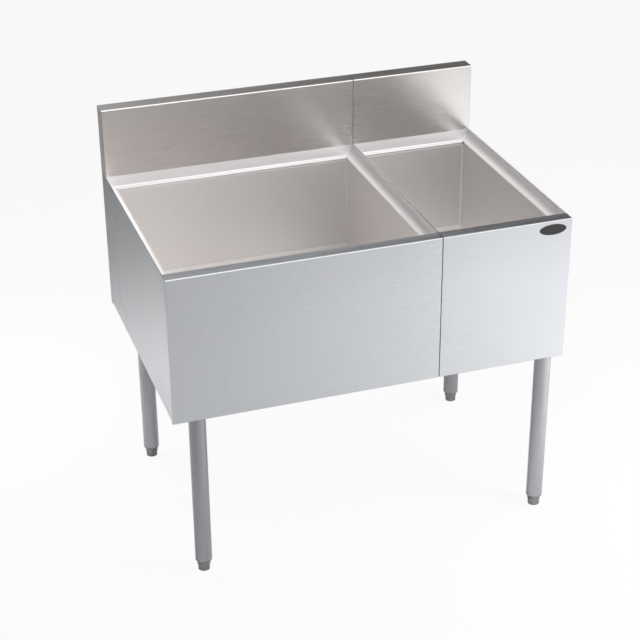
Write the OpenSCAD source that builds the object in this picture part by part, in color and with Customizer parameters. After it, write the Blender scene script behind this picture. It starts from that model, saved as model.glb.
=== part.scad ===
// Underbar unit in brushed stainless steel: an insulated ice bin and a narrow sink bowl,
// bolted side by side and carried on four tube legs with screw feet.
// Frame: origin on the floor at mid width and mid depth, +X right, +Y to the wall, +Z up.

/* [Overall size] */
// Width of the ice bin module
bin_w = 609.6; // [406.4:12.7:914.4]
// Width of the sink module
sink_w = 304.8; // [254:12.7:609.6]
// Depth of both modules, from the apron to the wall
unit_d = 609.6; // [508:12.7:762]
// Height of the rim above the floor with the feet screwed in
rim_h = 762; // [650:1:950]
// Height of the apron below the rim
apron_h = 342.9; // [342:0.1:420]

/* [Backsplash] */
// Rise of the backsplash above the rim
splash_rise = 163; // [100:1:300]
// Depth of the boxed backsplash
splash_d = 42; // [34:1:60]
// Flange turned down behind the backsplash
splash_flange = 25; // [15:1:60]

/* [Sheet metal] */
// Thickness of the stainless sheet
sheet = 1.2; // [0.9:0.1:1.5]
// Outside radius of the panel bends
bend_r = 2.5; // [2:0.1:3.5]
// Outside radius of the backsplash bends where the modules meet
joint_r = 1.6; // [1.6:0.1:3]
// Width of the returns under the apron and the back panel
return_w = 14; // [10:1:14]
// Width of the flanges of the side panels and the bottom panel
side_flange = 12; // [8:1:13]
// Set-back of the front and back panels from the side panels' faces
reveal = 0.3; // [0.1:0.1:1]
// Clearance around a fitted piece
fit_gap = 0.3; // [0.2:0.05:0.4]

/* [Coved rim] */
// Depth of the flat front rim
front_rim = 32; // [26:1:60]
// Drop from the rim to the ledge around the well
rim_drop = 25.7; // [20:0.1:40]
// Distance of the well from the module's side
side_ledge = 21.8; // [21:0.1:40]
// Height of the straight wall above the cove along each side
cove_wall = 0.5; // [0.5:0.5:5]
// Radius of the cove below the backsplash
back_cove_r = 3; // [3:0.5:10]
// Lean of the cove below the backsplash, in degrees
back_lean = 10; // [5:1:25]
// Width of the ledge at the back
back_ledge = 8; // [2.5:0.5:10]
// Step from the back ledge down to the liner
liner_step = 5.9; // [3:0.1:12]
// Overlap of the rim's lip outside the liner
lip_lap = 10; // [6:1:20]
// Relief hole at each back corner of the opening
relief_d = 3; // [2:0.5:5]

/* [Wells] */
// Depth of both wells below the rim
well_depth = 254; // [200:1:256]
// Inside radius of the bends in the ice bin's liner
bin_r = 2; // [1.5:0.5:12]
// Inside radius of the bends in the sink's bowl
sink_r = 5; // [3:0.5:12]
// Fall of the floors to their drains
floor_fall = 5; // [2:0.5:10]
// Insulation between the ice bin and its bottom panel
foam_t = 30; // [25:1:40]

/* [Drains] */
// Outside diameter of the ice bin's drain pipe
bin_pipe_d = 33.4; // [26.7:0.1:42.2]
// Outside diameter of the sink's drain pipe
sink_pipe_d = 48.26; // [42.2:0.01:60.3]
// Wall of the drain pipes
pipe_wall = 3.4; // [2:0.1:4]
// Length of the drain pipes
pipe_l = 90; // [60:1:160]
// Width of a drain's flange around its shank
drain_rim = 13; // [10:0.5:20]
// Thickness of a drain's flange
drain_t = 2.5; // [2:0.1:4]
// Wall of a drain's shank
shank_wall = 5; // [4:0.5:8]
// Length of a drain's shank
shank_l = 42; // [36:1:60]

/* [Joining bolts] */
// Thread diameter of the bolts between the modules
bolt_d = 8; // [6:1:10]
// Thickness of their washers, which sets the gap between the modules
washer_t = 1.6; // [1:0.1:2.5]

/* [Legs] */
// Diameter of the leg tubes
leg_d = 38.1; // [31.8:0.1:41.3]
// Wall of the leg tubes
leg_wall = 1.6; // [1.2:0.1:3]
// Left legs' centre from the left side
leg_in_left = 63; // [42:1:120]
// Right legs' centre from the right side
leg_in_right = 33; // [33:1:90]
// Front left leg's centre from the front
leg_in_front_left = 44; // [34:1:120]
// Front right leg's centre from the front
leg_in_front_right = 34; // [34:1:120]
// Back legs' centre from the back
leg_in_back = 60; // [42:1:120]
// Depth of the sockets that hold the legs
socket_l = 50; // [40:1:52]
// Wall of the sockets
socket_wall = 3; // [2:0.5:3]
// Set screw of a socket
set_screw_d = 8; // [6:1:10]

/* [Feet] */
// Height of the tubes' lower ends above the floor
foot_reach = 30; // [24:1:40]
// Drop of the tapered insert below its tube
insert_drop = 8; // [6:0.5:10]
// Length of the insert inside the tube
insert_l = 40; // [30:1:60]
// Diameter of the foot's collar
collar_d = 30; // [28:0.1:33]
// Width of the foot's hexagon across its flats
hex_af = 25.4; // [19:0.1:25.6]
// Height of the foot's hexagon
hex_h = 15; // [10:1:18]
// Diameter of the foot's stem
stem_d = 12; // [10:1:14]
// Length of the stem above the collar
stem_l = 58; // [50:1:90]

/* [Hidden] */

$fn = 64;
over = 1;                               // how far a cutter runs past what it cuts

// Colours
steel = [0.76, 0.77, 0.78];
inner_steel = [0.70, 0.69, 0.68];
dull_steel = [0.56, 0.57, 0.58];
plated = [0.66, 0.66, 0.64];
foam = [0.93, 0.86, 0.62];
rubber = [0.12, 0.12, 0.12];
seal = [0.30, 0.31, 0.32];

// Planes of the unit
unit_w = bin_w + sink_w;
x_left = -unit_w / 2;
x_right = unit_w / 2;
x_seam = x_left + bin_w;
y_front = -unit_d / 2;
y_back = unit_d / 2;
z_apron = rim_h - apron_h;
z_top = rim_h + splash_rise;
inside_y = [y_front + sheet + bend_r, y_back - sheet - bend_r]; // clear of the side panels' bends
bin = [x_left, x_seam - washer_t / 2];  // outside faces of each module
sink = [x_seam + washer_t / 2, x_right];

// Coved rim: its lip, its ledge and the cove below the backsplash
y_lip = y_front + front_rim;
y_splash = y_back - splash_d;
z_ledge = rim_h - rim_drop;
z_step = z_ledge - liner_step;
z_lip = z_step - lip_lap;
lip_r = 2;
cove_w = side_ledge - 3 * sheet;        // from the opening's edge to the wall behind a side cove
cove_h = rim_drop - cove_wall;
side_cove_r = (cove_w * cove_w + cove_h * cove_h) / (2 * cove_w);
side_slope = asin(max(0, 1 - cove_w / side_cove_r)); // fall of a side cove at the opening's edge
lean_l = (rim_drop - back_cove_r * (1 - sin(back_lean))) / cos(back_lean);
y_cove = y_splash - lean_l * sin(back_lean) - back_cove_r * cos(back_lean);
y_open = y_cove - back_ledge;

// Wells: floors, drains and the panel under the insulation
z_floor = rim_h - well_depth;
z_drain = z_floor - floor_fall;
z_under = z_drain - drain_t - sheet;    // underside of the liner around its drain
y_drain = (y_lip + y_open) / 2;
z_bottom = z_floor - foam_t;

// Drains
seat_d = 2.5;                           // depth of the seat in a drain's flange
seat_w = 4;
shoulder = 30;                          // depth of the shoulder that a pipe stops at
shoulder_t = 3;
spigot_cut = 0.4;                       // how much the pipe's end inside the shank is turned down
gasket_t = 3;
nut_t = 8;
nut_wall = 9;
shank_room = 3;                         // space around the shank in the bottom panel
plate_t = 1.5;
strainer_hole_d = 4;
plate_pitch = 6.5;                      // from one ring of holes to the next
basket_pitch = 6.2;
basket_wall = 1;
basket_depth = 22;
basket_rows = [6, 13];                  // heights of the holes in the basket's wall
post_r = 2.5;
knob_r = 8;
knob_rise = 12;

// Joining bolts: two below the wells, two inside the backsplash
bolt_hole_r = bolt_d / 2 + 0.5;
bolt_af = bolt_d * 1.625;
bolt_head = bolt_d * 0.66;
washer_r = bolt_d;
bolt_low = z_apron + 28;
bolt_sites = [
    [y_front + 90, bolt_low], [y_back - 90, bolt_low],
    [y_back - splash_d / 2, rim_h + splash_rise * 0.28], [y_back - splash_d / 2, rim_h + splash_rise * 0.68]
];
seal_w = 12;
seal_in = 3.5;                          // the seal's distance from the edges that show
splash_seal_w = 6;
splash_seal_in = 4;

// Legs, sockets and feet
leg_x = [x_left + leg_in_left, x_right - leg_in_right];
front_leg_y = [y_front + leg_in_front_left, y_front + leg_in_front_right];
back_leg_y = y_back - leg_in_back;
channel_t = 2;
channel_h = 22;
socket_r = leg_d / 2 + fit_gap + socket_wall;
channel_w = 2 * (socket_r + channel_t + 2.5);
z_web = z_bottom - sheet;               // top of the leg channels
z_socket = z_web - channel_t;           // top of the sockets and of the legs
z_insert = foot_reach - insert_drop;    // underside of the inserts and top of the feet
insert_r = leg_d / 2 - leg_wall - 0.1;
hex_r = hex_af / 2 / cos(30);
hex_turn = 12;
foot_bevel = 1.5;
set_screw_z = z_socket - socket_l + 13;
set_screw_out = 4;                      // length of the screw outside its socket, and of its head

// ---------------------------------------------------------------- shared shapes

module box(low, high) {
    translate(low) cube(high - low);
}

module area(u, v) {
    translate([u[0], v[0]]) square([u[1] - u[0], v[1] - v[0]]);
}

// What a rounded corner at p loses; dir points from the corner to the arc's centre
module corner_waste(p, dir, r) {
    difference() {
        translate(p - [r, r]) square(2 * r);
        translate(p + r * dir) circle(r);
    }
}

// Rectangle with a radius at each corner: low-low, high-low, high-high, low-high
module round_area(u, v, r) {
    difference() {
        area(u, v);
        if (r[0] > 0) corner_waste([u[0], v[0]], [1, 1], r[0]);
        if (r[1] > 0) corner_waste([u[1], v[0]], [-1, 1], r[1]);
        if (r[2] > 0) corner_waste([u[1], v[1]], [-1, -1], r[2]);
        if (r[3] > 0) corner_waste([u[0], v[1]], [1, -1], r[3]);
    }
}

// Outlines drawn in YZ, XZ or XY and run along the axis that is left
module along_x(x) {
    translate([x[0], 0, 0]) rotate([90, 0, 90]) linear_extrude(x[1] - x[0]) children();
}

module along_y(y) {
    translate([0, y[1], 0]) rotate([90, 0, 0]) linear_extrude(y[1] - y[0]) children();
}

module along_z(z) {
    translate([0, 0, z[0]]) linear_extrude(z[1] - z[0]) children();
}

function mid(m) = (m[0] + m[1]) / 2;
function grow(span, g) = [span[0] - g, span[1] + g];

// ---------------------------------------------------------------- panels of a module

// Apron, flat front rim and the lip into the well, bent from one sheet
module front_panel(m) {
    in_r = bend_r - sheet;
    difference() {
        along_x(grow(m, -reveal)) difference() {
            round_area([y_front, y_lip], [z_apron, rim_h], [bend_r, 0, bend_r, bend_r]);
            round_area([y_front + sheet, y_lip - sheet], [z_apron + sheet, rim_h - sheet], [in_r, 0, in_r, in_r]);
            area([y_front + return_w, y_lip + over], [z_apron - over, z_lip]);
        }
        for (x = [m[0] - over, m[1] - sheet])
            box([x, y_lip - sheet - over, z_lip - over], [x + sheet + over, y_lip + over, rim_h - bend_r]);
    }
}

module back_panel(m) {
    in_r = bend_r - sheet;
    along_x(grow(m, -reveal)) difference() {
        round_area([y_back - return_w, y_back], [z_apron, rim_h], [0, bend_r, 0, 0]);
        round_area([y_back - return_w - over, y_back - sheet], [z_apron + sheet, rim_h + over], [0, in_r, 0, 0]);
    }
}

// Side sheet with its front, back and bottom flanges turned inward; side is 0 left, 1 right
module side_panel(m, side, drilled) {
    y = [y_front + sheet, y_back - sheet];
    z = [z_apron + bend_r, rim_h];
    in_r = bend_r - sheet;
    in_x = [sheet, side_flange + over];
    translate([m[side], 0, 0]) mirror([side, 0, 0]) difference() {
        intersection() {
            along_z(z) round_area([0, side_flange], y, [bend_r, 0, 0, bend_r]);
            along_y(y) round_area([0, side_flange], z, [bend_r, 0, 0, 0]);
        }
        intersection() {
            along_z(grow(z, over)) round_area(in_x, grow(y, -sheet), [in_r, 0, 0, in_r]);
            along_y(grow(y, over)) round_area(in_x, [z[0] + sheet, z[1] + over], [in_r, 0, 0, 0]);
        }
        box([-over, y[0] - over, rim_h - bend_r], [side_flange + over, y_lip, rim_h + over]);
        along_y([y_lip, y_splash]) corner_waste([0, rim_h], [1, -1], sheet);
        if (drilled) bolt_holes([-over, sheet + over], [0, 1]);
    }
}

module bottom_panel(m) {
    x = grow(m, -sheet);
    z = [z_bottom - side_flange, z_bottom];
    in_r = bend_r - sheet;
    difference() {
        along_y(inside_y) difference() {
            round_area(x, z, [0, 0, bend_r, bend_r]);
            round_area(grow(x, -sheet), [z[0] - over, z[1] - sheet], [0, 0, in_r, in_r]);
        }
        translate([mid(m), y_drain, z[0]]) cylinder(h = side_flange + over, r = shank_r(bin_pipe_d) + shank_room);
    }
}

// Space inside the boxed backsplash: the outer faces, or the inner ones at g = sheet
module splash_space(m, joint_end, g, open) {
    x = grow(m, -g);
    y = [y_splash + g, y_back - g];
    z = [rim_h - open, z_top - g];
    r = bend_r - g;
    end_r = joint_end == 0 ? [joint_r - g, r] : [r, joint_r - g];
    intersection() {
        along_z(z) round_area(x, y, [end_r[0], end_r[1], 0, 0]);
        along_x(x) round_area(y, z, [0, 0, r, r]);
    }
}

module backsplash(m, joint_end) {
    difference() {
        splash_space(m, joint_end, 0, 0);
        splash_space(m, joint_end, sheet, over);
        box([m[0] + sheet, y_back - sheet - over, rim_h - over], [m[1] - sheet, y_back + over, z_top - splash_flange]);
        translate([m[joint_end], 0, 0]) bolt_holes([-sheet - over, sheet + over], [2, 3]);
    }
}

module bolt_holes(x, sites) {
    for (i = sites)
        translate([x[0], bolt_sites[i][0], bolt_sites[i][1]]) rotate([0, 90, 0]) cylinder(h = x[1] - x[0], r = bolt_hole_r);
}

// ---------------------------------------------------------------- coved rim

// The hollow of the rim, grown by g. Each side cove runs along Y, one arc from the wall down to the
// opening's edge, the leaning back cove runs along X, and where they meet they leave a mitre.
module rim_space(m, g, open) {
    x = grow(m, g - 2 * sheet);
    side_r = side_cove_r + g;
    back_r = back_cove_r + g;
    z = [z_ledge - g, rim_h + open];
    intersection() {
        along_y([y_lip - open, y_splash + splash_d / 2])
            round_area(x, [rim_h - cove_wall - side_r, z[1]], [side_r, side_r, 0, 0]);
        along_x(m) {
            polygon([
                [y_lip - open, z[0]],
                [y_cove, z[0]],
                [y_cove + back_r * cos(back_lean), z_ledge + back_cove_r - back_r * sin(back_lean)],
                [y_splash + g / cos(back_lean) + open * tan(back_lean), z[1]],
                [y_lip - open, z[1]]
            ]);
            translate([y_cove, z_ledge + back_cove_r]) circle(back_r);
        }
    }
}

function well_x(m) = grow(m, sheet - side_ledge);
function well_r(m) = m == bin ? bin_r : sink_r;

// What the bend from a falling ledge into a vertical lip loses; the ledge's edge is at the origin
module lip_waste(slope, r) {
    centre = [-r, r * tan(slope) - r / cos(slope)];
    difference() {
        polygon([centre, centre + 2 * r * [sin(slope), cos(slope)], [r, r], centre + [2 * r, 0]]);
        translate(centre) circle(r);
    }
}

// Coved rim on three sides of the well, with a lip that hangs outside the liner
module coved_rim(m) {
    x = well_x(m);
    difference() {
        union() {
            rim_space(m, sheet, 0);
            box([x[0] - sheet, y_lip, z_lip], [x[1] + sheet, y_open + sheet, z_ledge - sheet / 2]);
        }
        rim_space(m, 0, over);
        box([x[0], y_lip - over, z_lip - over], [x[1], y_open, z_ledge + over]);
        along_x(x) corner_waste([y_open, z_ledge], [1, -1], lip_r);
        along_y([y_lip - over, y_open]) for (end = [0, 1])
            translate([x[end], z_ledge]) mirror([end, 0]) lip_waste(side_slope, lip_r);
        along_y([y_lip - over, y_splash]) {
            corner_waste([m[0] + 2 * sheet, rim_h], [-1, -1], sheet);
            corner_waste([m[1] - 2 * sheet, rim_h], [1, -1], sheet);
        }
        for (corner = x)
            translate([corner, y_open, z_step]) cylinder(h = liner_step + over, d = relief_d);
    }
}

// Room of the strip along the back, which is mitred from the opening's corners to the backsplash
module back_run(m) {
    x = well_x(m);
    run = [side_ledge, y_splash - y_open];
    end = y_open + 2 * run[1];              // past the rim's outer edges
    along_z([z_lip - over, rim_h + over])
        polygon([[x[0], y_open], [x[1], y_open], [x[1] + 2 * run[0], end], [x[0] - 2 * run[0], end]]);
}

module side_rims(m) {
    difference() {
        coved_rim(m);
        back_run(m);
    }
}

module back_rim(m) {
    intersection() {
        coved_rim(m);
        back_run(m);
    }
}

// ---------------------------------------------------------------- wells

// The hollow of a well, grown by g: rounded bends, and a floor of four planes that fall to the drain
module well_space(m, g, top) {
    x = grow(well_x(m), g - sheet);
    y = grow([y_lip, y_open], g - sheet);
    r = well_r(m) + g;
    intersection() {
        along_y(y) well_section(x, mid(m), r, z_floor - g, top);
        along_x(x) well_section(y, y_drain, r, z_floor - g, top);
        along_z([z_drain - g, top]) round_area(x, y, [r, r, r, r]);
    }
}

module well_section(u, u_drain, r, z, top) {
    round_area(u, [z, top], [r, r, 0, 0]);
    polygon([[u[0] + r, z], [u_drain, z - floor_fall], [u[1] - r, z]]);
}

module well(m, pipe_d) {
    x = well_x(m);
    flange_r = drain_flange_r(pipe_d) + fit_gap;
    difference() {
        union() {
            well_space(m, sheet, z_ledge);
            translate([mid(m), y_drain, z_under]) cylinder(h = drain_t + sheet, r = flange_r + sheet);
        }
        well_space(m, 0, z_ledge + over);
        for (y = [y_lip - over, y_open - sheet - well_r(m)])
            box([x[0] - over, y, z_step], [x[1] + over, y + sheet + well_r(m) + over, z_ledge + over]);
        along_y([y_lip - over, y_open + over]) {
            corner_waste([x[0] + sheet, z_ledge], [-1, -1], sheet);
            corner_waste([x[1] - sheet, z_ledge], [1, -1], sheet);
        }
        translate([mid(m), y_drain, z_drain - drain_t]) cylinder(h = drain_t + over, r = flange_r);
        translate([mid(m), y_drain, z_under - over]) cylinder(h = 2 * sheet + 2 * over, r = shank_r(pipe_d) + fit_gap);
    }
}

module insulation(m) {
    gap = sheet + fit_gap;
    difference() {
        box([m[0] + gap, inside_y[0], z_bottom], [m[1] - gap, inside_y[1], z_lip - fit_gap]);
        well_space(m, gap, z_lip + over);
        translate([mid(m), y_drain, z_bottom - over])
            cylinder(h = z_floor - z_bottom, r = drain_flange_r(bin_pipe_d) + gap + fit_gap);
    }
}

// ---------------------------------------------------------------- drains

function shank_r(pipe_d) = pipe_d / 2 + fit_gap + shank_wall;
function drain_flange_r(pipe_d) = shank_r(pipe_d) + drain_rim;
function nut_r(pipe_d) = shank_r(pipe_d) + nut_wall;
function bore_r(pipe_d) = pipe_d / 2 + fit_gap + 0.5;
function seat_r(pipe_d) = bore_r(pipe_d) + seat_w;

module at_drain(m) {
    translate([mid(m), y_drain, z_drain]) children();
}

// Flange flush with the floor, a seat for the strainer, and a shank with a shoulder for the pipe
module drain_body(pipe_d) {
    flange_r = drain_flange_r(pipe_d);
    rotate_extrude() polygon([
        [seat_r(pipe_d), 0], [flange_r - 1.5, 0], [flange_r, -1], [flange_r, -drain_t],
        [shank_r(pipe_d), -drain_t], [shank_r(pipe_d), -shank_l],
        [pipe_d / 2 + fit_gap, -shank_l], [pipe_d / 2 + fit_gap, -shoulder],
        [pipe_d / 2 - pipe_wall, -shoulder], [pipe_d / 2 - pipe_wall, shoulder_t - shoulder],
        [bore_r(pipe_d), shoulder_t - shoulder], [bore_r(pipe_d), -seat_d], [seat_r(pipe_d), -seat_d]
    ]);
}

module drain_gasket(pipe_d) {
    translate([0, 0, z_under - z_drain - gasket_t]) difference() {
        cylinder(h = gasket_t, r = nut_r(pipe_d) - 1);
        translate([0, 0, -over]) cylinder(h = gasket_t + 2 * over, r = shank_r(pipe_d) + fit_gap);
    }
}

module drain_nut(pipe_d) {
    translate([0, 0, z_under - z_drain - gasket_t - nut_t]) difference() {
        cylinder(h = nut_t, r = nut_r(pipe_d), $fn = 8);
        translate([0, 0, -over]) cylinder(h = nut_t + 2 * over, r = shank_r(pipe_d) + fit_gap);
    }
}

// Pipe whose turned-down end goes up inside the shank to its shoulder
module drain_pipe(pipe_d) {
    translate([0, 0, -shoulder - pipe_l]) difference() {
        union() {
            cylinder(h = pipe_l, r = pipe_d / 2 - spigot_cut);
            cylinder(h = pipe_l - (shank_l - shoulder), d = pipe_d);
        }
        translate([0, 0, -over]) cylinder(h = pipe_l + 2 * over, r = pipe_d / 2 - pipe_wall);
    }
}

// Rings of small holes through a strainer's plate: one in the middle, then six more each ring
module strainer_holes(rings, pitch, first, z, h) {
    for (ring = [first:rings], i = [0:max(6 * ring, 1) - 1])
        rotate(i * 360 / max(6 * ring, 1))
            translate([ring * pitch, 0, z]) cylinder(h = h, d = strainer_hole_d, $fn = 24);
}

module strainer_plate(pipe_d) {
    translate([0, 0, -seat_d]) difference() {
        cylinder(h = plate_t, r = seat_r(pipe_d) - fit_gap);
        strainer_holes(2, plate_pitch, 0, -over, plate_t + 2 * over);
    }
}

// Perforated cup whose rim rests in the seat, with a post and a knob to lift it by
module strainer_basket(pipe_d) {
    rim_r = seat_r(pipe_d) - fit_gap;
    cup_r = bore_r(pipe_d) - fit_gap;
    floor_z = -seat_d - basket_depth;
    difference() {
        rotate_extrude() polygon([
            [0, floor_z], [cup_r, floor_z], [cup_r, -seat_d], [rim_r, -seat_d], [rim_r, basket_wall - seat_d],
            [cup_r - basket_wall, basket_wall - seat_d], [cup_r - basket_wall, floor_z + basket_wall],
            [0, floor_z + basket_wall]
        ]);
        strainer_holes(3, basket_pitch, 1, floor_z - over, basket_wall + 2 * over);
        for (turn = [0:30:330], z = basket_rows)
            rotate(turn) translate([cup_r - 2 * basket_wall, 0, floor_z + z]) rotate([0, 90, 0])
                cylinder(h = 4 * basket_wall, d = strainer_hole_d, $fn = 24);
    }
    rotate_extrude() polygon([
        [0, floor_z + basket_wall / 2], [post_r, floor_z + basket_wall / 2],
        [post_r, knob_rise - 6], [knob_r - 2, knob_rise - 4],
        [knob_r, knob_rise - 2.5], [knob_r - 1, knob_rise - 0.8], [knob_r - 4, knob_rise], [0, knob_rise]
    ]);
}

// ---------------------------------------------------------------- joint between the modules

// Seal strip in the gap: down the front, along below the rim and up inside the backsplash
module seal_strip() {
    y_up = y_splash + splash_seal_in;
    along_x([bin[1], sink[0]]) {
        area([y_front + seal_in, y_front + seal_in + seal_w], [z_apron + seal_in, rim_h - seal_in]);
        area([y_front + seal_in, y_up + splash_seal_w], [rim_h - seal_in - seal_w, rim_h - seal_in]);
        area([y_up, y_up + splash_seal_w], [rim_h - seal_in - seal_w, z_top - seal_in]);
    }
}

module at_bolts() {
    for (site = bolt_sites)
        translate([x_seam, site[0], site[1]]) rotate([0, 90, 0]) children();
}

clamp_t = washer_t / 2 + sheet;         // from the middle of the gap to a panel's inner face

module joining_bolt() {
    translate([0, 0, -clamp_t - washer_t - bolt_head]) cylinder(h = bolt_head, r = bolt_af / 2 / cos(30), $fn = 6);
    translate([0, 0, -clamp_t - washer_t - over / 2]) cylinder(h = 2 * clamp_t + 2 * washer_t + bolt_d, d = bolt_d);
}

module washer() {
    difference() {
        cylinder(h = washer_t, r = washer_r);
        translate([0, 0, -over]) cylinder(h = washer_t + 2 * over, r = bolt_d / 2 + fit_gap);
    }
}

module joining_nut() {
    translate([0, 0, clamp_t + washer_t]) difference() {
        cylinder(h = bolt_d * 0.8, r = bolt_af / 2 / cos(30), $fn = 6);
        translate([0, 0, -over]) cylinder(h = bolt_d + 2 * over, r = bolt_d / 2 + fit_gap);
    }
}

// ---------------------------------------------------------------- legs and feet

module leg_channel(x) {
    z = [z_web - channel_h, z_web];
    span = [x - channel_w / 2, x + channel_w / 2];
    along_y([y_front + 2 * sheet, y_back - 2 * sheet]) difference() {
        round_area(span, z, [0, 0, bend_r + channel_t, bend_r + channel_t]);
        round_area(grow(span, -channel_t), [z[0] - over, z[1] - channel_t], [0, 0, bend_r, bend_r]);
    }
}

// A leg's centre: ix is 0 left, 1 right; iy is 0 front, 1 back
function leg_at(ix, iy) = [leg_x[ix], iy == 0 ? front_leg_y[ix] : back_leg_y, 0];

// Each leg's place, with its X axis turned to the middle of the unit
module at_legs() {
    for (ix = [0, 1], iy = [0, 1])
        translate(leg_at(ix, iy)) mirror([ix, 0, 0]) children();
}

module socket() {
    difference() {
        translate([0, 0, z_socket - socket_l]) cylinder(h = socket_l, r = socket_r);
        translate([0, 0, z_socket - socket_l - over]) cylinder(h = socket_l + 2 * over, r = leg_d / 2 + fit_gap);
        translate([0, 0, set_screw_z]) rotate([0, 90, 0]) cylinder(h = socket_r + over, r = set_screw_d / 2 + fit_gap);
    }
}

module set_screw() {
    translate([leg_d / 2 + fit_gap, 0, set_screw_z]) rotate([0, 90, 0]) {
        cylinder(h = socket_wall + set_screw_out, d = set_screw_d);
        translate([0, 0, socket_wall + set_screw_out]) cylinder(h = set_screw_out, r = set_screw_d * 0.7, $fn = 6);
    }
}

module leg(ix, iy) {
    translate(leg_at(ix, iy) + [0, 0, foot_reach]) difference() {
        cylinder(h = z_socket - foot_reach, d = leg_d);
        translate([0, 0, -over]) cylinder(h = z_socket - foot_reach + 2 * over, r = leg_d / 2 - leg_wall);
    }
}

// Plug pressed into the tube, tapered below it, with the hole for the foot's stem
module insert() {
    stem_hole_r = stem_d / 2 + fit_gap;
    rotate_extrude() polygon([
        [stem_hole_r, z_insert], [collar_d / 2 + 0.8, z_insert], [leg_d / 2, foot_reach - insert_drop / 3],
        [leg_d / 2, foot_reach], [insert_r, foot_reach],
        [insert_r, foot_reach + insert_l], [stem_hole_r, foot_reach + insert_l]
    ]);
}

// Screw foot: stem, round collar and a bevelled hexagon that stands on the floor
module foot(ix, iy) {
    translate(leg_at(ix, iy)) {
        rotate(hex_turn) intersection() {
            cylinder(h = hex_h, r = hex_r, $fn = 6);
            cylinder(h = hex_h, r1 = hex_r - foot_bevel * 2, r2 = hex_r - foot_bevel * 2 + hex_h * 1.6);
        }
        translate([0, 0, hex_h]) cylinder(h = z_insert - hex_h, d = collar_d);
        translate([0, 0, z_insert]) cylinder(h = stem_l, d = stem_d);
    }
}

// ---------------------------------------------------------------- nodes

module bin_front_panel() { color(steel) front_panel(bin); }
module bin_left_panel() { color(steel) side_panel(bin, 0, false); }
module bin_right_panel() { color(steel) side_panel(bin, 1, true); }
module bin_back_panel() { color(dull_steel) back_panel(bin); }
module bin_bottom_panel() { color(dull_steel) bottom_panel(bin); }
module bin_backsplash() { color(steel) backsplash(bin, 1); }
module bin_side_rims() { color(inner_steel) side_rims(bin); }
module bin_back_rim() { color(inner_steel) back_rim(bin); }
module bin_liner() { color(inner_steel) well(bin, bin_pipe_d); }
module bin_insulation() { color(foam) insulation(bin); }
module bin_drain() { color(plated) at_drain(bin) drain_body(bin_pipe_d); }
module bin_drain_strainer() { color(steel) at_drain(bin) strainer_plate(bin_pipe_d); }
module bin_drain_gasket() { color(rubber) at_drain(bin) drain_gasket(bin_pipe_d); }
module bin_drain_nut() { color(plated) at_drain(bin) drain_nut(bin_pipe_d); }
module bin_drain_pipe() { color(plated) at_drain(bin) drain_pipe(bin_pipe_d); }

module sink_front_panel() { color(steel) front_panel(sink); }
module sink_left_panel() { color(steel) side_panel(sink, 0, true); }
module sink_right_panel() { color(steel) side_panel(sink, 1, false); }
module sink_back_panel() { color(dull_steel) back_panel(sink); }
module sink_backsplash() { color(steel) backsplash(sink, 0); }
module sink_side_rims() { color(inner_steel) side_rims(sink); }
module sink_back_rim() { color(inner_steel) back_rim(sink); }
module sink_bowl() { color(inner_steel) well(sink, sink_pipe_d); }
module sink_drain() { color(plated) at_drain(sink) drain_body(sink_pipe_d); }
module sink_drain_gasket() { color(rubber) at_drain(sink) drain_gasket(sink_pipe_d); }
module sink_drain_nut() { color(plated) at_drain(sink) drain_nut(sink_pipe_d); }
module sink_drain_pipe() { color(plated) at_drain(sink) drain_pipe(sink_pipe_d); }
module sink_strainer_basket() { color(steel) at_drain(sink) strainer_basket(sink_pipe_d); }

module joint_seal() { color(seal) seal_strip(); }
module joining_bolts() { color(plated) at_bolts() joining_bolt(); }
module joining_washers() {
    color(plated) at_bolts()
        for (z = [-clamp_t - washer_t, -washer_t / 2, clamp_t]) translate([0, 0, z]) washer();
}
module joining_nuts() { color(plated) at_bolts() joining_nut(); }

module left_leg_channel() { color(dull_steel) leg_channel(leg_x[0]); }
module right_leg_channel() { color(dull_steel) leg_channel(leg_x[1]); }
module leg_sockets() { color(dull_steel) at_legs() socket(); }
module socket_screws() { color(plated) at_legs() set_screw(); }
module front_left_leg() { color(steel) leg(0, 0); }
module back_left_leg() { color(steel) leg(0, 1); }
module front_right_leg() { color(steel) leg(1, 0); }
module back_right_leg() { color(steel) leg(1, 1); }
module leg_inserts() { color(plated) at_legs() insert(); }
module front_left_foot() { color(plated) foot(0, 0); }
module back_left_foot() { color(plated) foot(0, 1); }
module front_right_foot() { color(plated) foot(1, 0); }
module back_right_foot() { color(plated) foot(1, 1); }

bin_front_panel();
bin_left_panel();
bin_right_panel();
bin_back_panel();
bin_bottom_panel();
bin_backsplash();
bin_side_rims();
bin_back_rim();
bin_liner();
bin_insulation();
bin_drain();
bin_drain_strainer();
bin_drain_gasket();
bin_drain_nut();
bin_drain_pipe();
sink_front_panel();
sink_left_panel();
sink_right_panel();
sink_back_panel();
sink_backsplash();
sink_side_rims();
sink_back_rim();
sink_bowl();
sink_drain();
sink_drain_gasket();
sink_drain_nut();
sink_drain_pipe();
sink_strainer_basket();
joint_seal();
joining_bolts();
joining_washers();
joining_nuts();
left_leg_channel();
right_leg_channel();
leg_sockets();
socket_screws();
front_left_leg();
back_left_leg();
front_right_leg();
back_right_leg();
leg_inserts();
front_left_foot();
back_left_foot();
front_right_foot();
back_right_foot();
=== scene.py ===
import math

import bmesh
import bpy
from mathutils import Matrix, Vector


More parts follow.
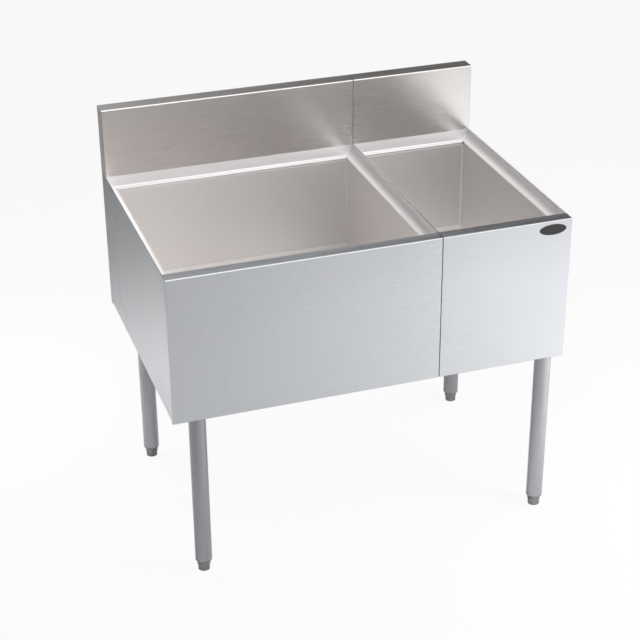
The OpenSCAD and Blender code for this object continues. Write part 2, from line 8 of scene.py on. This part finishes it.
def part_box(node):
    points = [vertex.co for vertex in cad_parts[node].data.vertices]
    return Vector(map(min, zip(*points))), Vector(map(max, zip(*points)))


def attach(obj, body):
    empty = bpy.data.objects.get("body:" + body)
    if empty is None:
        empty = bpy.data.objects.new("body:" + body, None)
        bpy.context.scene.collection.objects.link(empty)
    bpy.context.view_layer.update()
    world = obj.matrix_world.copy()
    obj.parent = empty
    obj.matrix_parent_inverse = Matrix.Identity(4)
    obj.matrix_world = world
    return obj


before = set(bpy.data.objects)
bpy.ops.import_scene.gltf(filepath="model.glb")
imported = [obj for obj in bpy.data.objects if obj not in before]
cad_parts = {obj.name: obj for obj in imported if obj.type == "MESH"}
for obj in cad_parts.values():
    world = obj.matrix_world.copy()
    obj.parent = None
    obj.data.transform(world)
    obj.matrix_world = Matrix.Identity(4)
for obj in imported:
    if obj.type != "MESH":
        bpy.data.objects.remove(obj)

scene = bpy.context.scene
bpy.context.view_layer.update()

# ------------------------------------------------------------ aprons and side panels
# Stainless 304 sheet, 1.2 mm, sheared and folded on a press brake, then screwed and welded edge to edge.
# The mill polishes it with belts to a No. 4 finish, so the grain runs along each sheet's length.

MM = 0.001
UNDER_FLOOR = -1.0      # a height in metres, below every piece


def linear(code):
    """An sRGB hex colour as linear RGBA."""
    channels = [int(code[i:i + 2], 16) / 255 for i in (1, 3, 5)]
    return [c / 12.92 if c <= 0.04045 else ((c + 0.055) / 1.055) ** 2.4 for c in channels] + [1.0]


def new_material(name):
    material = bpy.data.materials.new(name)
    material.use_nodes = True
    material.node_tree.nodes.clear()
    return material, material.node_tree


def add(tree, kind, inputs=None, **settings):
    """Adds a node, sets it up, and gives its inputs values or links from other nodes' outputs."""
    made = tree.nodes.new(kind)
    for name, value in settings.items():
        setattr(made, name, value)
    for socket, value in (inputs or {}).items():
        if isinstance(value, bpy.types.NodeSocket):
            tree.links.new(value, made.inputs[socket])
        else:
            made.inputs[socket].default_value = value
    return made


def brushed_sheet(name, dark, light, grain, roughness, spread=0.0, turn=0.0, cloud_mm=600, relief=0.1,
                  scuffs=0.0, dull_z=UNDER_FLOOR):
    """Belt-polished sheet: fine lines along one axis, wide faint clouds, and smeared reflections.

    grain is the lines' axis. spread says how far a reflection is smeared, and turn which way: level at 0, up
    and down at 0.25. scuffs is how rubbed the sheet is. Below dull_z a film of scale dulls it."""
    # The real grain is 0.05 mm wide. Here it is 0.6 mm wide, so that it shows in a close view.
    grain_w, grain_l = 0.6 * MM, 90 * MM
    line_share, cloud_share = 0.4, 0.6
    noise_low, noise_high = 0.3, 0.7        # nearly all of a noise lies between these
    uneven = 0.04                           # the light parts are smoother by this, and the dark ones rougher
    material, tree = new_material(name)
    place = add(tree, "ShaderNodeTexCoord").outputs["Object"]
    stretch = [1 / grain_l if axis in grain else 1 / grain_w for axis in "XYZ"]
    along = add(tree, "ShaderNodeVectorMath", {0: place, 1: stretch}, operation="MULTIPLY").outputs[0]
    lines = add(tree, "ShaderNodeTexNoise", {
        "Vector": along, "Scale": 1.0, "Detail": 3.0, "Roughness": 0.6}).outputs[0]
    clouds = add(tree, "ShaderNodeTexNoise", {
        "Vector": place, "Scale": 1 / (cloud_mm * MM), "Detail": 2.0}).outputs[0]
    shade = add(tree, "ShaderNodeMath", {0: lines, 1: line_share}, operation="MULTIPLY").outputs[0]
    shade = add(tree, "ShaderNodeMath", {
        0: clouds, 1: cloud_share, 2: shade}, operation="MULTIPLY_ADD").outputs[0]
    tone = add(tree, "ShaderNodeMapRange", {
        "Value": shade, "From Min": noise_low, "From Max": noise_high}).outputs[0]
    colour = add(tree, "ShaderNodeMix", {
        "Factor": tone, "A": linear(dark), "B": linear(light)}, data_type="RGBA").outputs["Result"]

    # Cloths and utensils leave hairline scuffs, 0.4 mm wide, that lie askew. Only the noise's peaks count, so
    # they stay sparse, and each is rougher than the sheet and a little below it.
    scuff_size = 40 * MM, 0.4 * MM, 9 * MM
    scuff_angle = 0.6                       # radians
    scuff_from, scuff_full = 0.62, 0.74
    scuff_rough, scuff_depth = 0.2, 0.6
    askew = add(tree, "ShaderNodeVectorRotate", {
        "Vector": place, "Angle": scuff_angle}, rotation_type="Z_AXIS").outputs[0]
    askew = add(tree, "ShaderNodeVectorMath", {
        0: askew, 1: [1 / size for size in scuff_size]}, operation="MULTIPLY").outputs[0]
    marks = add(tree, "ShaderNodeTexNoise", {"Vector": askew, "Scale": 1.0, "Detail": 1.0}).outputs[0]
    marks = add(tree, "ShaderNodeMapRange", {
        "Value": marks, "From Min": scuff_from, "From Max": scuff_full, "To Max": scuffs}).outputs[0]
    rough = add(tree, "ShaderNodeMapRange", {
        "Value": shade, "From Min": noise_low, "From Max": noise_high,
        "To Min": roughness + uneven, "To Max": roughness - uneven}).outputs[0]
    rough = add(tree, "ShaderNodeMath", {
        0: marks, 1: scuff_rough, 2: rough}, operation="MULTIPLY_ADD").outputs[0]

    film_edge, film_rough = 8 * MM, 0.4
    up = add(tree, "ShaderNodeSeparateXYZ", {0: place}).outputs["Z"]
    film = add(tree, "ShaderNodeMapRange", {
        "Value": up, "From Min": dull_z, "From Max": dull_z - film_edge, "To Max": film_rough}).outputs[0]
    rough = add(tree, "ShaderNodeMath", {0: rough, 1: film}, operation="ADD").outputs[0]

    line_depth = 0.02 * MM
    height = add(tree, "ShaderNodeMath", {
        0: marks, 1: -scuff_depth, 2: lines}, operation="MULTIPLY_ADD").outputs[0]
    bump = add(tree, "ShaderNodeBump", {
        "Height": height, "Strength": relief, "Distance": line_depth}).outputs[0]
    around = add(tree, "ShaderNodeTangent", direction_type="RADIAL", axis="Z").outputs[0]
    steel = add(tree, "ShaderNodeBsdfPrincipled", {
        "Base Color": colour, "Metallic": 1.0, "Roughness": rough, "Normal": bump,
        "Anisotropic": spread, "Anisotropic Rotation": turn, "Tangent": around})
    add(tree, "ShaderNodeOutputMaterial", {"Surface": steel.outputs[0]})
    return material


def coat(material, *names):
    """Gives every slot of the named pieces one material."""
    for name in names:
        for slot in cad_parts[name].material_slots:
            slot.material = material


# The apron and the side panels are one steel in two colours: the apron's is painted lighter, as painted
# light, and the sides' darker, as painted shade.
coat(brushed_sheet("stainless 304 No 4 finish, grain along the apron", "#cdcfd3", "#d7d9dd", "X",
                   roughness=0.26, spread=0.3, turn=0.25),
     "bin_front_panel", "sink_front_panel")
coat(brushed_sheet("stainless 304 No 4 finish, grain along the sides", "#c1c3c7", "#cbcdd1", "Y",
                   roughness=0.26),
     "bin_left_panel", "bin_right_panel", "sink_left_panel", "sink_right_panel")

# ------------------------------------------------------------ back and bottom panels, leg channels, sockets
# Galvanised sheet and tube that face the wall and the floor, folded and welded but never polished.
# They keep the dull, cloudy look of the zinc bath.


def spangled_zinc(name, dark, light):
    """Hot-dipped zinc: flat flakes, each in a shade of its own, under wide faint clouds."""
    spangle, cloud = 9 * MM, 140 * MM
    flake_share = 0.4
    rough_dark, rough_light = 0.52, 0.40
    material, tree = new_material(name)
    place = add(tree, "ShaderNodeTexCoord").outputs["Object"]
    flakes = add(tree, "ShaderNodeTexVoronoi", {"Vector": place, "Scale": 1 / spangle}).outputs["Color"]
    flake = add(tree, "ShaderNodeSeparateColor", {0: flakes}).outputs["Red"]
    clouds = add(tree, "ShaderNodeTexNoise", {"Vector": place, "Scale": 1 / cloud, "Detail": 3.0}).outputs[0]
    tone = add(tree, "ShaderNodeMath", {
        0: flake, 1: flake_share, 2: -flake_share / 2}, operation="MULTIPLY_ADD").outputs[0]
    tone = add(tree, "ShaderNodeMath", {0: tone, 1: clouds}, operation="ADD", use_clamp=True).outputs[0]
    colour = add(tree, "ShaderNodeMix", {
        "Factor": tone, "A": linear(dark), "B": linear(light)}, data_type="RGBA").outputs["Result"]
    rough = add(tree, "ShaderNodeMapRange", {
        "Value": tone, "To Min": rough_dark, "To Max": rough_light}).outputs[0]
    zinc = add(tree, "ShaderNodeBsdfPrincipled", {"Base Color": colour, "Metallic": 1.0, "Roughness": rough})
    add(tree, "ShaderNodeOutputMaterial", {"Surface": zinc.outputs[0]})
    return material


coat(spangled_zinc("galvanised sheet, spangled", "#8c9093", "#b4b8ba"),
     "bin_back_panel", "sink_back_panel", "bin_bottom_panel", "left_leg_channel", "right_leg_channel",
     "leg_sockets")

# ------------------------------------------------------------ backsplashes and coved rims
# The backsplash is a folded box, open behind, that stands on the rim. The rim is coved so that water runs
# into the well and a cloth reaches every corner. Its back corners are mitred, welded and polished flush.

# The backsplash's colour is painted lighter and warmer than the apron's, as painted light: it is the same
# steel.
coat(brushed_sheet("stainless 304 No 4 finish, backsplash, painted lighter", "#e1dddb", "#ece9e7", "X",
                   roughness=0.26, spread=0.2, turn=0.25, relief=0.07),
     "bin_backsplash", "sink_backsplash")
# The side rims' colour is painted much lighter than the apron's, nearly white, as painted light: they are the
# same steel.
coat(brushed_sheet("stainless 304 No 4 finish, side rims, painted lighter", "#f2f0f0", "#faf9f9", "Y",
                   roughness=0.46, scuffs=0.5),
     "bin_side_rims", "sink_side_rims")
# The back rim's colour is painted lighter than the apron's, as painted light: it is the same steel.
coat(brushed_sheet("stainless 304 No 4 finish, back rim, painted lighter", "#e2e0e0", "#efedee", "X",
                   roughness=0.34, scuffs=0.5),
     "bin_back_rim", "sink_back_rim")

# ------------------------------------------------------------ ice bin liner and sink bowl
# Deep folded wells with welded and ground corners. Ice scoops and glasses scuff them, so they are duller than
# the outside. The grain runs down the walls, and melt water leaves a film of scale on the liner's floor.

film_rise = 18 * MM
bin_bend_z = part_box("bin_liner")[0][2] + film_rise
# Both wells' colour is painted much lighter than the apron's, as painted light: they are the same steel.
coat(brushed_sheet("stainless 304 No 4 finish, ice bin liner, painted lighter", "#ebe8e7", "#f6f4f3", "Z",
                   roughness=0.44, cloud_mm=400, scuffs=1.0, dull_z=bin_bend_z),
     "bin_liner")
coat(brushed_sheet("stainless 304 No 4 finish, sink bowl, painted lighter", "#ebe8e7", "#f6f4f3", "Z",
                   roughness=0.44, cloud_mm=400, scuffs=1.0),
     "sink_bowl")

# ------------------------------------------------------------ insulation
# Polyurethane foam, poured between the liner and the panels, where it sets as one piece.
# Only its cells vary its colour: darker in each cell's hollow and lighter on its walls, as painted shade. The
# real ones are 0.3 mm across. Here they are 3 mm, so that they show.

cell_size, cell_depth = 3 * MM, 1 * MM
foam, foam_tree = new_material("polyurethane foam, poured")
foam_place = add(foam_tree, "ShaderNodeTexCoord").outputs["Object"]
cells = add(foam_tree, "ShaderNodeTexVoronoi", {
    "Vector": foam_place, "Scale": 1 / cell_size}).outputs["Distance"]
foam_colour_and_hollow_shade = add(foam_tree, "ShaderNodeMix", {
    "Factor": cells, "A": linear("#d9c68c"), "B": linear("#efe0b0")}, data_type="RGBA").outputs["Result"]
foam_bump = add(foam_tree, "ShaderNodeBump", {
    "Height": cells, "Strength": 0.6, "Distance": cell_depth}).outputs[0]
foam_skin = add(foam_tree, "ShaderNodeBsdfPrincipled", {
    "Base Color": foam_colour_and_hollow_shade, "Roughness": 0.9, "Normal": foam_bump, "IOR": 1.45})
add(foam_tree, "ShaderNodeOutputMaterial", {"Surface": foam_skin.outputs[0]})
coat(foam, "bin_insulation")

# ------------------------------------------------------------ drains, strainers and pipes
# Turned stainless bodies with a satin lathe finish: fine rings round their axis. Each is drawn tight by a
# nut on a rubber gasket. A punched plate strains the ice bin's drain and a lift-out basket the sink's.

WAVE_LENGTH = math.pi / 10      # what a wave texture repeats at, in metres, when its scale is 1


def turned_steel(name, drain):
    """Lathe-turned steel: fine rings round the drain's axis, which draw a reflection out across them."""
    # The real rings are 0.3 mm apart. Here they are 1.5 mm apart, so that they show in a close view.
    ring_pitch, ring_depth = 1.5 * MM, 0.03 * MM
    low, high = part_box(drain)
    axis = [(low[0] + high[0]) / 2, (low[1] + high[1]) / 2, 0]
    material, tree = new_material(name)
    place = add(tree, "ShaderNodeTexCoord").outputs["Object"]
    from_axis = add(tree, "ShaderNodeVectorMath", {0: place, 1: axis}, operation="SUBTRACT").outputs[0]
    rings = add(tree, "ShaderNodeTexWave", {
        "Vector": from_axis, "Scale": WAVE_LENGTH / ring_pitch, "Distortion": 0.6, "Detail": 1.0},
        wave_type="RINGS", rings_direction="Z").outputs["Fac"]
    colour = add(tree, "ShaderNodeMix", {
        "Factor": rings, "A": linear("#9c9c9a"), "B": linear("#c2c2c0")}, data_type="RGBA").outputs["Result"]
    bump = add(tree, "ShaderNodeBump", {"Height": rings, "Strength": 0.3, "Distance": ring_depth}).outputs[0]
    steel = add(tree, "ShaderNodeBsdfPrincipled", {
        "Base Color": colour, "Metallic": 1.0, "Roughness": 0.28, "Normal": bump})
    add(tree, "ShaderNodeOutputMaterial", {"Surface": steel.outputs[0]})
    return material


coat(turned_steel("stainless 304, turned, bin drain", "bin_drain"),
     "bin_drain", "bin_drain_strainer", "bin_drain_nut", "bin_drain_pipe")
coat(turned_steel("stainless 304, turned, sink drain", "sink_drain"),
     "sink_drain", "sink_drain_nut", "sink_drain_pipe", "sink_strainer_basket")


def rubber(name, colour, roughness):
    """Moulded rubber: matt, with a faint bloom that makes its sheen uneven."""
    bloom_size, uneven = 12 * MM, 0.1
    material, tree = new_material(name)
    place = add(tree, "ShaderNodeTexCoord").outputs["Object"]
    bloom = add(tree, "ShaderNodeTexNoise", {
        "Vector": place, "Scale": 1 / bloom_size, "Detail": 4.0}).outputs[0]
    rough = add(tree, "ShaderNodeMapRange", {
        "Value": bloom, "To Min": roughness - uneven, "To Max": roughness + uneven}).outputs[0]
    skin = add(tree, "ShaderNodeBsdfPrincipled", {
        "Base Color": linear(colour), "Roughness": rough, "IOR": 1.52})
    add(tree, "ShaderNodeOutputMaterial", {"Surface": skin.outputs[0]})
    return material


coat(rubber("EPDM rubber, moulded", "#1c1c1c", roughness=0.65), "bin_drain_gasket", "sink_drain_gasket")

# ------------------------------------------------------------ joint between the modules
# A strip of neoprene is squeezed between the two modules by four bolts with their washers and nuts, and shows
# only as a thin grey line in the joint. The leg sockets' set screws are plated as the bolts are.

coat(rubber("neoprene strip", "#a2a4a7", roughness=0.6), "joint_seal")

HIGH_ABOVE = 10.0       # a height in metres, above every piece


def plated_steel(name, dark, light, roughness, thread_z=HIGH_ABOVE):
    """Zinc plating: grey and satin, with small soft clouds. Above thread_z it has a screw thread."""
    cloud, uneven = 8 * MM, 0.08
    thread_pitch, thread_depth, thread_start = 2 * MM, 0.6 * MM, 0.1 * MM
    material, tree = new_material(name)
    place = add(tree, "ShaderNodeTexCoord").outputs["Object"]
    clouds = add(tree, "ShaderNodeTexNoise", {"Vector": place, "Scale": 1 / cloud, "Detail": 4.0}).outputs[0]
    colour = add(tree, "ShaderNodeMix", {
        "Factor": clouds, "A": linear(dark), "B": linear(light)}, data_type="RGBA").outputs["Result"]
    rough = add(tree, "ShaderNodeMapRange", {
        "Value": clouds, "To Min": roughness + uneven, "To Max": roughness - uneven}).outputs[0]
    height = add(tree, "ShaderNodeSeparateXYZ", {0: place}).outputs["Z"]
    threaded = add(tree, "ShaderNodeMapRange", {
        "Value": height, "From Min": thread_z, "From Max": thread_z + thread_start}).outputs[0]
    turns = add(tree, "ShaderNodeTexWave", {
        "Vector": place, "Scale": WAVE_LENGTH / thread_pitch}, bands_direction="Z").outputs["Fac"]
    thread = add(tree, "ShaderNodeMath", {0: turns, 1: threaded}, operation="MULTIPLY").outputs[0]
    bump = add(tree, "ShaderNodeBump", {
        "Height": thread, "Strength": 1.0, "Distance": thread_depth}).outputs[0]
    plating = add(tree, "ShaderNodeBsdfPrincipled", {
        "Base Color": colour, "Metallic": 1.0, "Roughness": rough, "Normal": bump})
    add(tree, "ShaderNodeOutputMaterial", {"Surface": plating.outputs[0]})
    return material


coat(plated_steel("steel, zinc plated", "#8f908e", "#b9bab7", roughness=0.34),
     "joining_bolts", "joining_washers", "joining_nuts", "socket_screws")

# ------------------------------------------------------------ legs and feet
# Welded stainless tube, 1-1/2 in across. Drawing leaves fine lines along it, and polishing it round smears
# its reflections up and down. A tapered plug is pressed into its end, and a cast foot screws into the plug.

# The tube's colour is painted much darker than the sheet's, as painted shade: it is the same steel.
coat(brushed_sheet("stainless 304 tube, polished round, painted darker", "#9b9ca0", "#bcbdc0", "Z",
                   roughness=0.26, spread=0.6, turn=0.25),
     "front_left_leg", "back_left_leg", "front_right_leg", "back_right_leg")
coat(plated_steel("cast steel, zinc plated", "#7c7d7f", "#a6a7a8", roughness=0.36), "leg_inserts")
stem_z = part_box("leg_inserts")[0][2]
coat(plated_steel("cast steel, zinc plated, threaded stem", "#7c7d7f", "#a6a7a8",
                  roughness=0.36, thread_z=stem_z),
     "front_left_foot", "back_left_foot", "front_right_foot", "back_right_foot")

# ------------------------------------------------------------ oval plate
# A small plain oval plate is bonded to the apron's right end. It is pressed from thin aluminium, with a
# raised border and a satin black enamel.

plate_centre = Vector((411.5, 0, 741.7)) * MM
plate_half = Vector((32, 0, 12.5)) * MM
plate_t = 0.9 * MM
PLATE_STEPS = 96
# Each ring of the border, by how far it lies inside the plate's outline and how far it stands off the apron.
border = [(0, 0), (0, plate_t * 0.7), (0.4 * MM, plate_t), (1.6 * MM, plate_t), (2.0 * MM, plate_t * 0.6)]


def oval_ring(mesh, inside, y):
    """A ring of points parallel to the plate's outline, inside it by so much."""
    half_x, half_z = plate_half.x - inside, plate_half.z - inside
    turns = [2 * math.pi * i / PLATE_STEPS for i in range(PLATE_STEPS)]
    return [mesh.verts.new((plate_centre.x + half_x * math.cos(turn), y,
                            plate_centre.z + half_z * math.sin(turn))) for turn in turns]


def bridge(mesh, ring_a, ring_b):
    """Closes the strip between two rings with faces."""
    for i in range(PLATE_STEPS):
        after = (i + 1) % PLATE_STEPS
        mesh.faces.new((ring_a[i], ring_a[after], ring_b[after], ring_b[i]))


def piece(name, mesh, material, body):
    """Makes a mesh into a piece that rides on a body."""
    data = bpy.data.meshes.new(name)
    bmesh.ops.recalc_face_normals(mesh, faces=mesh.faces)
    mesh.to_mesh(data)
    mesh.free()
    made = bpy.data.objects.new(name, data)
    scene.collection.objects.link(made)
    data.materials.append(material)
    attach(made, body)
    return made


apron_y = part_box("sink_front_panel")[0][1]
plate_mesh = bmesh.new()
rings = [oval_ring(plate_mesh, inside, apron_y - off) for inside, off in border]
for ring_a, ring_b in zip(rings, rings[1:]):
    bridge(plate_mesh, ring_a, ring_b)
plate_mesh.faces.new(rings[-1])
plate_mesh.faces.new(list(reversed(rings[0])))

# Enamel dries with a faint orange peel, 2 mm across, that softens the edges of its highlights.
peel_size, peel_depth = 2 * MM, 0.05 * MM
enamel, enamel_tree = new_material("aluminium plate, black enamel")
enamel_place = add(enamel_tree, "ShaderNodeTexCoord").outputs["Object"]
peel = add(enamel_tree, "ShaderNodeTexNoise", {
    "Vector": enamel_place, "Scale": 1 / peel_size, "Detail": 2.0}).outputs[0]
enamel_bump = add(enamel_tree, "ShaderNodeBump", {
    "Height": peel, "Strength": 0.15, "Distance": peel_depth}).outputs[0]
enamel_skin = add(enamel_tree, "ShaderNodeBsdfPrincipled", {
    "Base Color": linear("#111113"), "Roughness": 0.32, "IOR": 1.5, "Coat Weight": 0.3,
    "Normal": enamel_bump})
add(enamel_tree, "ShaderNodeOutputMaterial", {"Surface": enamel_skin.outputs[0]})
piece("oval_plate", plate_mesh, enamel, "unit")

# ------------------------------------------------------------ floor
# A plain pale matt floor. The camera and glass see it mostly as white, and a part of it keeps its shading, so
# the unit's shadow stays on it. The steel reflects a little of the white and mostly the lit paint.

FLOOR_HALF = 40
floor_z = -0.2 * MM     # just under the feet, so that no two faces lie in one plane
floor_mesh = bpy.data.meshes.new("floor")
corners = [(x * FLOOR_HALF, y * FLOOR_HALF, floor_z) for x, y in ((-1, -1), (1, -1), (1, 1), (-1, 1))]
floor_mesh.from_pydata(corners, [], [(0, 1, 2, 3)])
floor = bpy.data.objects.new("floor", floor_mesh)
scene.collection.objects.link(floor)

WHITE_SEEN, WHITE_REFLECTED = 0.92, 0.07
paint, paint_tree = new_material("floor, pale matt paint")
path = add(paint_tree, "ShaderNodeLightPath").outputs
seen = add(paint_tree, "ShaderNodeMath", {
    0: path["Is Camera Ray"], 1: path["Is Transmission Ray"]}, operation="MAXIMUM").outputs[0]
seen_share = add(paint_tree, "ShaderNodeMath", {0: seen, 1: WHITE_SEEN}, operation="MULTIPLY").outputs[0]
gloss_share = add(paint_tree, "ShaderNodeMath", {
    0: path["Is Glossy Ray"], 1: WHITE_REFLECTED}, operation="MULTIPLY").outputs[0]
share = add(paint_tree, "ShaderNodeMath", {0: seen_share, 1: gloss_share}, operation="MAXIMUM").outputs[0]
matt = add(paint_tree, "ShaderNodeBsdfDiffuse", {"Color": linear("#f2f2f2")}).outputs[0]
white = add(paint_tree, "ShaderNodeEmission", {"Color": linear("#ffffff"), "Strength": 1.0}).outputs[0]
floor_look = add(paint_tree, "ShaderNodeMixShader", {0: share, 1: matt, 2: white})
add(paint_tree, "ShaderNodeOutputMaterial", {"Surface": floor_look.outputs[0]})
floor_mesh.materials.append(paint)

# ------------------------------------------------------------ room
# A white room. The camera sees plain white, and paint and rubber get a low even light from it. The steel sees
# soft darker parts behind the unit and at its left, and brighter ones in front, overhead and at its right.

room = bpy.data.worlds.new("room")
scene.world = room
room.use_nodes = True
room_tree = room.node_tree
room_tree.nodes.clear()
WHITE = 1.0             # the plain wall, as the camera and the steel see it
room_path = add(room_tree, "ShaderNodeLightPath").outputs
towards = add(room_tree, "ShaderNodeTexCoord").outputs["Generated"]
axes = add(room_tree, "ShaderNodeSeparateXYZ", {0: towards}).outputs

# A dark curtain behind the unit and to its right. It is full within 15 degrees of its middle and gone at 33.
CURTAIN_AT, CURTAIN_LEVEL = [0.514, 0.823, 0.242], 0.06
facing = add(room_tree, "ShaderNodeVectorMath", {
    0: towards, 1: CURTAIN_AT}, operation="DOT_PRODUCT").outputs["Value"]
curtain = add(room_tree, "ShaderNodeMapRange", {
    "Value": facing, "From Min": 0.84, "From Max": 0.965,
    "To Min": WHITE, "To Max": CURTAIN_LEVEL}).outputs[0]

# The left of the room is nearly dark. Its edge leans, so that it reaches further to the right low down.
LEFT_LEVEL, LEFT_LEAN = 0.04, 0.25
aside = add(room_tree, "ShaderNodeMath", {
    0: axes["Z"], 1: LEFT_LEAN, 2: axes["X"]}, operation="MULTIPLY_ADD").outputs[0]
dimmer = add(room_tree, "ShaderNodeMapRange", {
    "Value": aside, "From Min": -0.7, "From Max": 0.15, "To Min": LEFT_LEVEL, "To Max": WHITE}).outputs[0]

# What the room's bright parts add to its white: in front above the horizon, overhead, and at the right.
FRONT_EXTRA, OVERHEAD_EXTRA, RIGHT_EXTRA = 0.6, 0.25, 5.0
front = add(room_tree, "ShaderNodeMapRange", {
    "Value": axes["Y"], "From Min": -0.1, "From Max": -0.7, "To Max": FRONT_EXTRA}).outputs[0]
high = add(room_tree, "ShaderNodeMapRange", {
    "Value": axes["Z"], "From Min": -0.1, "From Max": 0.1}).outputs[0]
bright = add(room_tree, "ShaderNodeMath", {0: front, 1: high, 2: WHITE}, operation="MULTIPLY_ADD").outputs[0]
overhead = add(room_tree, "ShaderNodeMapRange", {
    "Value": axes["Z"], "From Min": 0.6, "From Max": 0.9, "To Max": OVERHEAD_EXTRA}).outputs[0]
bright = add(room_tree, "ShaderNodeMath", {0: bright, 1: overhead}, operation="ADD").outputs[0]
beside = add(room_tree, "ShaderNodeMapRange", {
    "Value": axes["X"], "From Min": 0.8, "From Max": 0.95, "To Max": RIGHT_EXTRA}).outputs[0]
bright = add(room_tree, "ShaderNodeMath", {0: bright, 1: beside}, operation="ADD").outputs[0]
walls = add(room_tree, "ShaderNodeMath", {0: curtain, 1: dimmer}, operation="MULTIPLY").outputs[0]
walls = add(room_tree, "ShaderNodeMath", {0: walls, 1: bright}, operation="MULTIPLY").outputs[0]

# What paint and rubber get from the room. The camera gets its plain white.
MATT_LEVEL = 0.06
level = add(room_tree, "ShaderNodeMix", {
    "Factor": room_path["Is Diffuse Ray"], "A": walls, "B": MATT_LEVEL}, data_type="FLOAT").outputs["Result"]
level = add(room_tree, "ShaderNodeMix", {
    "Factor": room_path["Is Camera Ray"], "A": level, "B": WHITE}, data_type="FLOAT").outputs["Result"]
backdrop = add(room_tree, "ShaderNodeBackground", {"Color": linear("#ffffff"), "Strength": level})
add(room_tree, "ShaderNodeOutputWorld", {"Surface": backdrop.outputs[0]})

# ------------------------------------------------------------ lamps
# Four soft boxes that light the floor and whatever is not metal: over the floor at the right front, low
# beside the right legs, behind the left end, and overhead in front. They are hidden from reflections, because
# they would show in the steel as hard bright shapes.


def soft_box(name, at, aim, width, height, watts):
    lamp = bpy.data.lights.new(name, "AREA")
    lamp.shape = "RECTANGLE"
    lamp.size, lamp.size_y, lamp.energy = width, height, watts
    holder = bpy.data.objects.new(name, lamp)
    holder.location = at
    holder.rotation_euler = (Vector(aim) - Vector(at)).to_track_quat("-Z", "Y").to_euler()
    holder.visible_glossy = False
    scene.collection.objects.link(holder)


soft_box("right_box", at=(1.5, -1.25, 1.6), aim=(1.4, -1.25, 0), width=0.9, height=0.9, watts=38)
soft_box("leg_box", at=(1.1, -0.45, 0.5), aim=(1.1, -0.45, 0), width=0.3, height=0.3, watts=1.6)
soft_box("left_box", at=(-0.75, 0.6, 0.8), aim=(-0.75, 0.6, 0), width=0.4, height=0.6, watts=6)
soft_box("ceiling_box", at=(0.2, -0.8, 2.8), aim=(0, 0, 0.5), width=2.4, height=1.6, watts=16)

# ------------------------------------------------------------ camera
# Solved from the photograph's edges and corners: the eye is left of the unit, above it and 4 m away, looking
# to the right and down.

eye = Vector((-1.0970, -3.1994, 2.2392))
azimuth, tilt, roll = math.radians(18.54), math.radians(28.03), math.radians(-0.46)
SENSOR_MM, LENS_MM = 36, 91.56
forward = Vector((math.sin(azimuth) * math.cos(tilt), math.cos(azimuth) * math.cos(tilt), -math.sin(tilt)))
level_right = Vector((math.cos(azimuth), -math.sin(azimuth), 0))
level_up = level_right.cross(forward)
right = level_right * math.cos(roll) + level_up * math.sin(roll)
up = level_up * math.cos(roll) - level_right * math.sin(roll)
lens = bpy.data.cameras.new("camera")
lens.sensor_width, lens.lens = SENSOR_MM, LENS_MM
camera = bpy.data.objects.new("camera", lens)
camera.matrix_world = Matrix((right, up, -forward)).transposed().to_4x4()
camera.location = eye
scene.collection.objects.link(camera)
scene.camera = camera
scene.view_settings.view_transform = "Standard"
